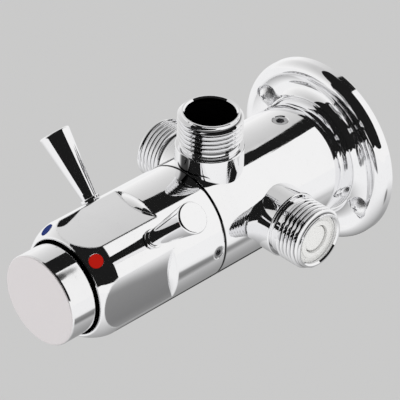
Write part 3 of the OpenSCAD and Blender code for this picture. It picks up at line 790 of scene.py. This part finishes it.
def build_body():
    casting = stand_on_wall(body_barrel())
    for _, foot, way, reach in STUBS:
        cut_or_join(casting, stand(stub(reach), foot, way), "UNION")
    for _, foot, way, reach in STUBS:
        bore(casting, stub_bore(reach), foot, way, 192)
    hole = [(0, 10), (GRUB_HOLE_R, 10), (GRUB_HOLE_R, BODY_R - 0.4)]
    hole += [(GRUB_MOUTH_R, BODY_R + 0.1), (GRUB_MOUTH_R, 22), (0, 22)]
    bore(casting, hole, (0, -GRUB_Y, 0), (0, 0, 1))
    for name, foot, way, reach in STUBS:
        coil = stand(thread_coil(name + "_thread", reach), foot, way)
        smooth(coil, 35)
        paint(coil, "chrome")
        piece(coil, "valve_body", "chrome")
    smooth(casting, 28)
    paint(casting, "casting")
    piece(casting, "valve_body", "chrome", "valve_body")


build_body()


# The control sleeve, turned, with its flats milled


def milled_flats():
    """What the mill takes off: all outside a square, running out in a curve towards the seam."""
    middle = (FLAT_X + math.sqrt(CUTTER_R**2 - CUTTER_LEAD**2), FLATS_BACK + CUTTER_LEAD)
    front = SLEEVE_FRONT + 1
    profile = [(FLAT_X - 1, front), (FLAT_X - 1, middle[1])]
    profile += arc(middle, CUTTER_R, 180, 360, 60)
    profile += [(BODY_R + 5, middle[1]), (BODY_R + 5, front), (FLAT_X - 1, front)]
    milled = turn_profile("milled", profile, 256)
    square = begin(bpy.ops.mesh.primitive_cube_add, "square", size=1, location=(0, 0, 100 * MM))
    square.scale = (2 * FLAT_X * MM, 2 * FLAT_X * MM, 60 * MM)
    place(square)
    return cut_or_join(milled, square, "DIFFERENCE")


def build_sleeve():
    profile = [(SLEEVE_NECK_R, SLEEVE_BACK)]
    profile += arc((BODY_R - 0.4, SLEEVE_BACK + 0.4), 0.4, 270, 360, 6)
    profile += [(BODY_R, SLEEVE_BACK + 0.7), (BODY_R, NOSE_START - 0.3)]
    profile += arc(NOSE_CENTRE, NOSE_R, NOSE_FROM, NOSE_TO, 28)
    profile += [(SLEEVE_BORE_R, SLEEVE_FRONT), (SLEEVE_BORE_R, SLEEVE_LEDGE)]
    profile += [(SLEEVE_NECK_R, SLEEVE_LEDGE), (SLEEVE_NECK_R, SLEEVE_BACK)]
    sleeve = turn_profile("sleeve_milled", profile, 256)
    cut_or_join(sleeve, milled_flats(), "DIFFERENCE")
    stand_on_wall(sleeve)
    # where the levers and the grub screw go in, square to the axis
    for angle, station in ((45, LEVER_Y), (135, LEVER_Y), (0, SLEEVE_GRUB_Y)):
        bore(sleeve, rod(SLEEVE_HOLE_R, 8, 24), (0, -station, 0), around(angle))
    # pockets of the colour marks, square to the nose
    tilt = math.radians(DOT_TILT)
    for angle in DOT_ANGLES:
        foot = around(angle, DOT_REACH, DOT_Y)
        way = around(angle, math.cos(tilt), math.sin(tilt))
        bore(sleeve, rod(DOT_POCKET_R, -0.4, 1), foot, way, 96)
    smooth(sleeve, 20)
    paint(sleeve, "sleeve")
    piece(sleeve, "control", "chrome", "control_sleeve")


build_sleeve()


# Screws of the wall flange


def screw_thread(length, point, shank_r, thread_r):
    """A coarse thread that fades out towards the head and narrows over the point."""
    pitch, half_foot, half_edge = 1.6, 0.42, 0.04
    foot_r = shank_r - 0.2
    ridge = [(foot_r, -half_foot), (thread_r, -half_edge), (thread_r, half_edge), (foot_r, half_foot)]
    coil = outline("screw_thread", ridge, 3.2 - length)
    wind(coil, pitch, 5, 32)
    for v in coil.data.vertices:
        z = v.co.z / MM
        r = math.hypot(v.co.x, v.co.y) / MM
        cone = shank_r * clamp((z + length) / point)
        top = clamp((-3.0 - z) / 1.2)
        new_r = (cone - 0.1) + (r - foot_r) * top * min(1.0, (z + length) / 3.0 + 0.2)
        v.co.x *= new_r / r
        v.co.y *= new_r / r
    close_ends(coil)
    return coil


def wall_screw(name):
    """A dome-head screw with a cross recess, a shank and a coarse wound thread."""
    head_r, head_h = 3.5, 2.3
    length, point, shank_r, thread_r = 14.0, 4.5, 1.55, 2.0
    dome = (head_r**2 + head_h**2) / (2 * head_h)
    edge = math.degrees(math.asin((dome - head_h) / dome))
    profile = arc((0, head_h - dome), dome, 90, edge + 4, 14)
    profile[0] = (0, head_h)
    profile += [(head_r - 0.02, 0.18), (head_r - 0.15, 0), (thread_r, 0), (thread_r, -2.2)]
    profile += [(shank_r, -2.6), (shank_r, point - length), (0, -length)]
    o = turn_profile(name, profile, 64)
    blade_size, blade_z, narrowed = (2.9, 0.62, 1.9), 2.1, 0.45
    for turn in (0, 1):
        blade = begin(
            bpy.ops.mesh.primitive_cube_add,
            "blade",
            size=1,
            location=(0, 0, blade_z * MM),
            rotation=(0, 0, math.radians(90 * turn)),
        )
        blade.scale = [s * MM for s in blade_size]
        place(blade)
        for v in blade.data.vertices:
            if v.co.z < blade_z * MM:
                v.co[turn] *= narrowed
        cut_or_join(o, blade, "DIFFERENCE")
    only(o, screw_thread(length, point, shank_r, thread_r))
    bpy.ops.object.join()
    smooth(o, 40)
    return o


def build_screws():
    for name, angle in zip(("wall_screw_lower", "wall_screw_upper"), SCREW_ANGLES):
        o = stand(wall_screw(name), around(angle, SCREW_RING, SCREW_SEAT), (0, -1, 0))
        paint(o, "screw_steel")
        piece(o, "valve_body", "steel", *(["wall_screws"] if angle < 0 else []))


build_screws()


# The levers, turned


def build_levers():
    """Cones that widen to a disc with a rounded rim, each on a foot ring."""
    foot, tip = BODY_R + 0.2, BODY_R + LEVER_LEN
    for name, angle in LEVERS:
        profile = [(0, LEVER_ROOT), (LEVER_STEM_R, LEVER_ROOT), (LEVER_STEM_R, foot), (3.15, foot)]
        profile += arc((2.8, foot + 0.55), 0.35, 0, 90, 6)
        profile += [(2.45, foot + 0.9), (5.06, tip - 1.0)]
        profile += arc((4.5, tip - 0.6), 0.6, 0, 90, 10)
        profile += [(0, tip)]
        o = turn_profile(name + "_turned", profile, 128)
        stand(o, (0, -LEVER_Y, 0), around(angle))
        smooth(o, 30)
        paint(o, "chrome")
        piece(o, "control", "chrome", name)


build_levers()


# The wall flange and its rosette, turned


def drill(o, radius, low, high, angle):
    """A hole along the axis in a turned plate, at a wall screw."""
    x, _, y = around(angle, SCREW_RING)
    cutter = begin(
        bpy.ops.mesh.primitive_cylinder_add,
        "drill",
        vertices=64,
        radius=radius * MM,
        depth=(high - low) * MM,
        location=(x * MM, y * MM, (low + high) / 2 * MM),
    )
    place(cutter)
    cut_or_join(o, cutter, "DIFFERENCE")


def flange_profile():
    """The plate with its hub, and the spigot with the groove of the body's grub screw."""
    back, front = SPIGOT_GROOVE
    profile = [(SPIGOT_BORE_R, SPIGOT_FLOOR), (SPIGOT_BORE_R, SPIGOT_END - 0.2)]
    profile += [(SPIGOT_BORE_R + 0.2, SPIGOT_END), (SPIGOT_R - 0.3, SPIGOT_END)]
    profile += [(SPIGOT_R, SPIGOT_END - 0.3), (SPIGOT_R, front + 0.55), (SPIGOT_R, front)]
    profile += [(SPIGOT_R - 1, front), (SPIGOT_R - 1, back), (SPIGOT_R, back)]
    profile += [(SPIGOT_R, BODY_BACK)]
    profile += arc((19.05, BODY_BACK - 0.15), 0.15, 90, 7, 4)
    profile += [(HUB_R, HUB_FOOT), (HUB_R, PLATE_FRONT)]
    profile += arc((PLATE_R - 0.5, PLATE_FRONT - 0.5), 0.5, 90, 0, 6)
    profile += [(PLATE_R, 0), (0, 0), (0, SPIGOT_FLOOR), (SPIGOT_BORE_R, SPIGOT_FLOOR)]
    return profile


def rosette_profile():
    """The dish and the rounded rim, with the pocket behind for the flange's plate."""
    profile = [(ROSETTE_HOLE_R, PLATE_FRONT), (ROSETTE_HOLE_R, HUB_FOOT)]
    profile += arc((SCREW_RING, 8.7), DISH_R, 210, 312.2, 48)
    profile += arc((ROSETTE_R - RIM_R, 2.2), RIM_R, 104.7, 0, 48)[1:]
    profile += [(ROSETTE_R, 0.15), (ROSETTE_R - 0.15, 0), (ROSETTE_POCKET_R, 0)]
    profile += [(ROSETTE_POCKET_R, PLATE_FRONT), (ROSETTE_HOLE_R, PLATE_FRONT)]
    return profile


def build_flange():
    flange = turn_profile("flange_plate", flange_profile(), 256)
    rosette = turn_profile("rosette_shell", rosette_profile(), 256)
    for angle in SCREW_ANGLES:
        drill(flange, SCREW_HOLE_R, -1, 4, angle)
        drill(rosette, SCREW_HOLE_R, 1, 6, angle)
        drill(rosette, SCREW_HEAD_HOLE_R, SCREW_SEAT, 12, angle)
    for o, node in ((flange, "wall_flange"), (rosette, "wall_rosette")):
        stand_on_wall(o)
        smooth(o, 22)
        paint(o, "chrome")
        piece(o, "valve_body", "chrome", node)


build_flange()


# Springs, wound with closed end turns


def wound_spring(name, radius, wire, low, high, open_turns):
    """A round wire spring along Z between two heights, in mm."""
    turns = open_turns + 2
    o = begin(
        bpy.ops.mesh.primitive_circle_add,
        name,
        vertices=12,
        radius=wire / 2 * MM,
        rotation=(math.pi / 2, 0, 0),
    )
    place(o)
    bpy.ops.object.mode_set(mode="EDIT")
    bpy.ops.mesh.select_all(action="SELECT")
    bpy.ops.transform.translate(value=(radius * MM, 0, (low + wire / 2) * MM))
    bpy.ops.object.mode_set(mode="OBJECT")
    wind(o, wire, turns, 40)
    # the turns lie on each other at first, and the open ones are then drawn apart
    spare = (high - low) - wire * (turns + 1)
    for v in o.data.vertices:
        angle = math.atan2(v.co.y, v.co.x) % (2 * math.pi)
        z = v.co.z / MM - low - wire / 2
        turn = round(z / wire - angle / (2 * math.pi)) + angle / (2 * math.pi)
        v.co.z += spare * clamp((turn - 1) / open_turns) * MM
    close_ends(o)
    smooth(o, 60)
    return o


def build_springs():
    coil = wound_spring("return_coil", 7.6, 1.4, SPRING_BACK, SPRING_BACK + SPRING_LENGTH, 6)
    stand_on_wall(coil)
    paint(coil, "steel")
    piece(coil, "control", "steel", "return_spring")
    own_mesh(coil)
    for side, way in (("right", 1), ("left", -1)):
        node = "check_valve_spring_" + side
        low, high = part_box(node)
        near, far = sorted((abs(low.x) / MM, abs(high.x) / MM))
        coil = wound_spring("check_coil_" + side, 3.2, 0.8, near, far, 4)
        stand(coil, (0, -INLET_Y, 0), (way, 0, 0))
        paint(coil, "steel")
        piece(coil, "valve_body", "steel", node)
        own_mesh(coil)


build_springs()


# Surroundings: a pale floor, and dark screens that only the plating shows

BACKGROUND = 0.604
# Of the background's grey, the floor's own share, and the share that full light on it adds
FLOOR_OWN = 0.5
FLOOR_LIT = 0.56
FLOOR_Z = -420
FLOOR_HALF = 6000
ROOM_TOP = 3130
ROOM_LEFT = -1820
ROOM_RIGHT = 2040
# Corners in mm, seen from above
CEILING = (
    ((ROOM_LEFT, -5200), (ROOM_RIGHT, -5200), (ROOM_RIGHT, 1880), (ROOM_LEFT, 1880)),
    ((383, 1879), (ROOM_RIGHT, 1879), (ROOM_RIGHT, 2240), (383, 1881)),
    ((ROOM_LEFT, 1879), (385, 1879), (400, 2400), (ROOM_LEFT, 2400)),
    ((-690, 2399), (560, 2399), (272, 2487), (-870, 2487)),
    ((-870, 2486), (272, 2486), (200, 2720), (-1400, 2720)),
)
WALLS = {
    "right_screen": (
        (ROOM_RIGHT, -3000, 450),
        (ROOM_RIGHT, 852, 450),
        (ROOM_RIGHT, 2240, ROOM_TOP),
        (ROOM_RIGHT, -3000, ROOM_TOP),
    ),
    "side_screen": (
        (249, -112, 97),
        (249, -112, ROOM_TOP),
        (389, -1140, ROOM_TOP),
        (389, -1140, -107),
    ),
    "front_screen": (
        (389, -1140, -107),
        (389, -1140, ROOM_TOP),
        (-449, -1110, ROOM_TOP),
        (-449, -1110, -107),
    ),
}


def stage_material(name):
    """A material without a shader yet, and its node tree."""
    m = bpy.data.materials.new(name)
    m.use_nodes = True
    m.node_tree.nodes.remove(m.node_tree.nodes["Principled BSDF"])
    return m, m.node_tree


def show(tree, output, to_plating, to_camera):
    """Shows one shader to the camera and another to the plating."""
    path = tree.nodes.new("ShaderNodeLightPath")
    n = tree.nodes.new("ShaderNodeMixShader")
    tree.links.new(path.outputs["Is Camera Ray"], n.inputs[0])
    tree.links.new(to_plating.outputs[0], n.inputs[1])
    tree.links.new(to_camera.outputs[0], n.inputs[2])
    tree.links.new(n.outputs[0], tree.nodes[output].inputs["Surface"])


def screen(name, corners, material, camera=False):
    """A flat stage panel through four corners in mm, which lights nothing and has no shadow."""
    o = begin(bpy.ops.mesh.primitive_plane_add, name, size=1)
    for v, i in zip(o.data.vertices, (0, 1, 3, 2)):
        v.co = Vector(corners[i]) * MM
    o.data.materials.append(material)
    o.visible_camera = camera
    o.visible_diffuse = False
    o.visible_shadow = False


def dark_finish():
    """A nearly black panel."""
    m, t = stage_material("dark_screen")
    glow = t.nodes.new("ShaderNodeEmission")
    glow.inputs["Color"].default_value = (0.012, 0.012, 0.012, 1)
    t.links.new(glow.outputs[0], t.nodes["Material Output"].inputs["Surface"])
    return m


def floor_finish():
    """Pale with the object's soft shadow for the camera, and darker under it for the plating."""
    m, t = stage_material("pale_floor")
    own = t.nodes.new("ShaderNodeEmission")
    own.inputs["Color"].default_value = (BACKGROUND * FLOOR_OWN,) * 3 + (1,)
    lit = t.nodes.new("ShaderNodeBsdfDiffuse")
    lit.inputs["Color"].default_value = (BACKGROUND * FLOOR_LIT,) * 3 + (1,)
    pale = t.nodes.new("ShaderNodeAddShader")
    t.links.new(own.outputs[0], pale.inputs[0])
    t.links.new(lit.outputs[0], pale.inputs[1])
    where = t.nodes.new("ShaderNodeTexCoord").outputs["Object"]

    def ring(x, y, near, far, least, most):
        """Goes smoothly from least to most between two distances from a point, in metres."""
        reach = t.nodes.new("ShaderNodeVectorMath")
        reach.operation = "DISTANCE"
        reach.inputs[1].default_value = (x, y, FLOOR_Z * MM)
        t.links.new(where, reach.inputs[0])
        return ramp(t, reach.outputs["Value"], near, far, least, most, "SMOOTHSTEP")

    # a rise from under the object to the far floor, a dark place that the right flat shows, and a
    # darker one that draws the line along the body's lower edge
    rise = ring(x=-0.08, y=0.22, near=0.0, far=0.85, least=0.30, most=0.95)
    flat_shade = ring(x=0.42, y=0.26, near=0.07, far=0.19, least=0.34, most=1.0)
    edge_shade = ring(x=-0.205, y=0.274, near=0.06, far=0.10, least=0.10, most=1.0)
    shades = math_node(t, "MULTIPLY", flat_shade, edge_shade)
    glow = t.nodes.new("ShaderNodeEmission")
    t.links.new(math_node(t, "MULTIPLY", rise, shades), glow.inputs["Strength"])
    show(t, "Material Output", glow, pale)
    return m


def build_stage():
    dark = dark_finish()
    for i, corners in enumerate(CEILING):
        screen("ceiling_screen_%d" % i, [(x, y, ROOM_TOP) for x, y in corners], dark)
    for name, corners in WALLS.items():
        screen(name, corners, dark)
    far = FLOOR_HALF
    corners = [(x, y, FLOOR_Z) for x, y in ((-far, -far), (far, -far), (far, far), (-far, far))]
    screen("floor", corners, floor_finish(), camera=True)


build_stage()


def build_world():
    """Plain grey behind the object, and a soft white room for light and reflections."""
    w = bpy.data.worlds.new("studio")
    scene.world = w
    w.use_nodes = True
    t = w.node_tree
    grey = t.nodes["Background"]
    grey.inputs["Color"].default_value = (BACKGROUND, BACKGROUND, BACKGROUND, 1)
    grey.inputs["Strength"].default_value = 1.0
    room = t.nodes.new("ShaderNodeBackground")
    room.inputs["Color"].default_value = (1.0, 0.997, 0.99, 1)
    x, _, z = coordinates(t, t.nodes.new("ShaderNodeTexCoord").outputs["Generated"])
    # the room is a little darker high up on the left
    high = ramp(t, z, 0.0, 0.75, 0.0, 1.0)
    left = ramp(t, x, 0.1, -0.3, 0.0, 0.36)
    darker = math_node(t, "MULTIPLY", high, left)
    t.links.new(math_node(t, "SUBTRACT", 0.98, darker), room.inputs["Strength"])
    show(t, "World Output", room, grey)


build_world()


# Camera, at the photograph's angle

TURN, RISE, ROLL = (math.radians(a) for a in (44.21, 34.97, 1.89))
DISTANCE = 939.1
LENS = 265.92
SENSOR = 36
AIM_RIGHT, AIM_UP = 0.94, 4.53
AXIS_Y = -57.86


def build_camera():
    """A camera that looks at the body's axis, a little aside and rolled, as the photograph's."""
    level = math.cos(RISE)
    back = Vector((math.sin(TURN) * level, -math.cos(TURN) * level, math.sin(RISE)))
    right = Vector((math.cos(TURN), math.sin(TURN), 0))
    up = back.cross(right)
    across = math.cos(ROLL) * right + math.sin(ROLL) * up
    upward = -math.sin(ROLL) * right + math.cos(ROLL) * up
    where = Vector((0, AXIS_Y, 0)) + DISTANCE * back + AIM_RIGHT * across + AIM_UP * upward
    data = bpy.data.cameras.new("camera")
    data.sensor_width = SENSOR
    data.lens = LENS
    data.clip_start = 0.01
    data.clip_end = 50
    o = bpy.data.objects.new("camera", data)
    scene.collection.objects.link(o)
    turn = Matrix((across, upward, back)).transposed().to_4x4()
    o.matrix_world = Matrix.Translation(where * MM) @ turn
    scene.camera = o


build_camera()
scene.view_settings.view_transform = "Standard"
